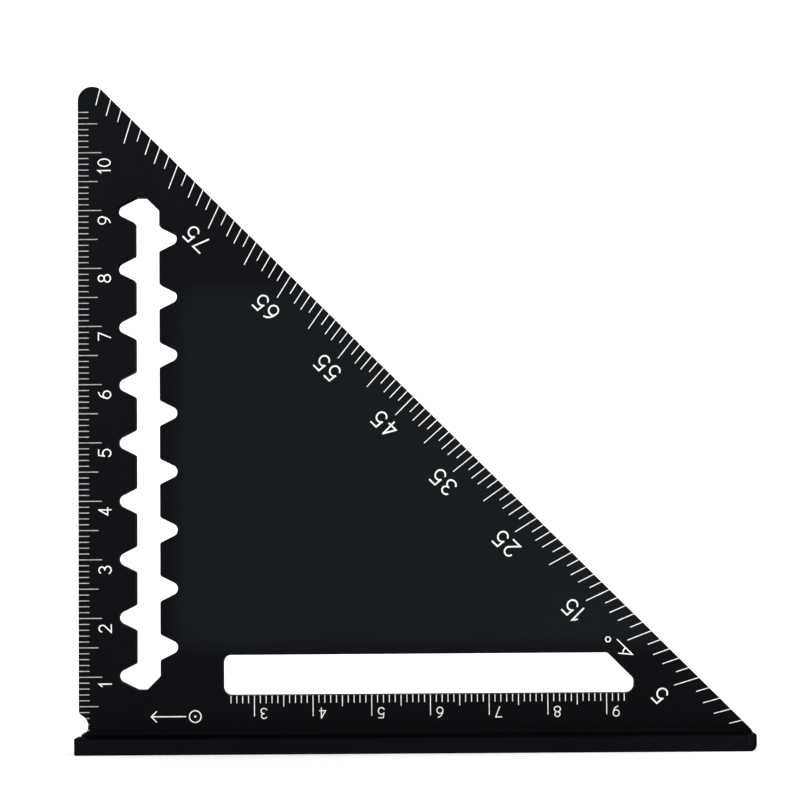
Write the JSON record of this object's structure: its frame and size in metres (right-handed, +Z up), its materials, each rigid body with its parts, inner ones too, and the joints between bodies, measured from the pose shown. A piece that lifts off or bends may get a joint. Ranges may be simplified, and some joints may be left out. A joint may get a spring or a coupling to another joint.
{
  "type": "rafter square",
  "caption": "Small metric rafter square: black triangular blade with a T-shaped fence, a long slot, a notched marking slot, and white millimetre and degree scales.",
  "frame": {"origin": "pivot corner, where the upright edge meets the top of the fence, at the middle of the blade's thickness", "axes": "+X along the fence towards its pointed end, +Z up the upright edge, -Y out of the face with the scales"},
  "size_m": [0.1149, 0.016, 0.1143],
  "materials": {
    "black_alloy": "black satin coating on aluminium alloy",
    "white_paint": "matt off-white paint filled into shallow cuts"
  },
  "bodies": {
    "root": {"square_body": "black_alloy", "edge_scale_lines": "white_paint", "edge_scale_numbers": "white_paint", "slot_scale_lines": "white_paint", "slot_scale_numbers": "white_paint", "protractor_lines": "white_paint", "protractor_numbers": "white_paint", "pivot_symbol": "white_paint", "degree_symbol": "white_paint"}
  },
  "joints": []
}
